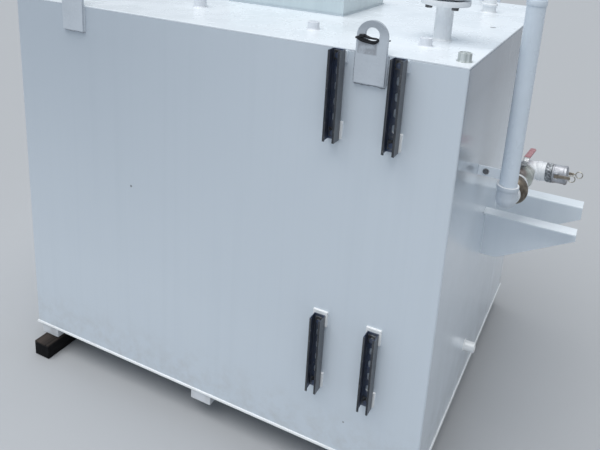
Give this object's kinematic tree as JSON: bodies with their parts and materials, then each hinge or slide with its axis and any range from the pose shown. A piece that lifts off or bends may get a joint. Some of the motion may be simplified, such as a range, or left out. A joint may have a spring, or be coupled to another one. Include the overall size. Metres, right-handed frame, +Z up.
{
  "type": "rectangular steel storage tank",
  "caption": "Rectangular white steel storage tank on runners and timber bearers, with lifting lugs, slotted mounting channels, a raised hatch and a side fill line with a ball valve.",
  "frame": {"origin": "centre of the bounding box's bottom face, on the ground; the tank body's own centre is 167.5 mm towards -X", "axes": "+Z up, -Y the tank's front with the slotted channels, +X the side with the fill line and bracket arms"},
  "size_m": [2.145, 1.61, 1.8585],
  "materials": {
    "white_paint": "gloss",
    "hatch_paint": "gloss",
    "timber": "weathered",
    "channel_steel": "dull dark zinc",
    "black_nylon": "matte",
    "gasket_rubber": "matte",
    "bronze": "dull",
    "nickel_plate": "satin",
    "lever_sleeve": "faded",
    "cast_alloy": "cast"
  },
  "bodies": {
    "tank": {"floor_plate": "white_paint", "roof_plate": "white_paint", "front_wall": "white_paint", "back_wall": "white_paint", "left_wall": "white_paint", "right_wall": "white_paint", "runner_left": "white_paint", "runner_middle": "white_paint", "runner_right": "white_paint", "lug_front_left": "white_paint", "lug_front_right": "white_paint", "lug_rear_left": "white_paint", "lug_rear_right": "white_paint", "hatch_frame": "hatch_paint", "hatch_cover": "hatch_paint", "roof_socket_corner": "white_paint", "roof_socket_right": "white_paint", "roof_socket_middle": "white_paint", "roof_socket_left": "white_paint", "vent_stub": "white_paint", "drain_socket": "white_paint", "roof_nozzle": "white_paint", "drop_flange": "white_paint", "fill_riser": "white_paint", "fill_bend": "white_paint", "branch_elbow": "white_paint", "fill_elbow": "white_paint", "pipe_clip": "white_paint", "bracket_arm_front": "white_paint", "bracket_arm_rear": "white_paint", "bearer_left": "timber", "bearer_right": "timber", "cable_tie": "black_nylon", "flange_gasket": "gasket_rubber", "channel_upper_left": "channel_steel", "channel_upper_right": "channel_steel", "channel_lower_left": "channel_steel", "channel_lower_right": "channel_steel", "check_valve_body": "bronze", "ball_valve_body": "nickel_plate", "camlock_adapter": "cast_alloy", "dust_cap": "cast_alloy"},
    "lever": {"valve_lever": "lever_sleeve"},
    "cam_front": {"cam_arm_front": "cast_alloy"},
    "cam_rear": {"cam_arm_rear": "cast_alloy"}
  },
  "joints": [
    {"name": "lever_turn", "type": "hinge", "parent": "tank", "child": "lever", "pos_m": [0.85357, -0.17153, 1.153], "axis": [0, 0, 1], "range_deg": [-90, 0]},
    {"name": "cam_front_turn", "type": "hinge", "parent": "tank", "child": "cam_front", "pos_m": [0.96517, -0.11373, 1.11378], "axis": [-0.0592, 0.1437, 0.9879], "range_deg": [-100, 0]},
    {"name": "cam_rear_turn", "type": "hinge", "parent": "tank", "child": "cam_rear", "pos_m": [0.97226, -0.02489, 1.10129], "axis": [-0.0592, 0.1437, 0.9879], "range_deg": [0, 100]}
  ]
}
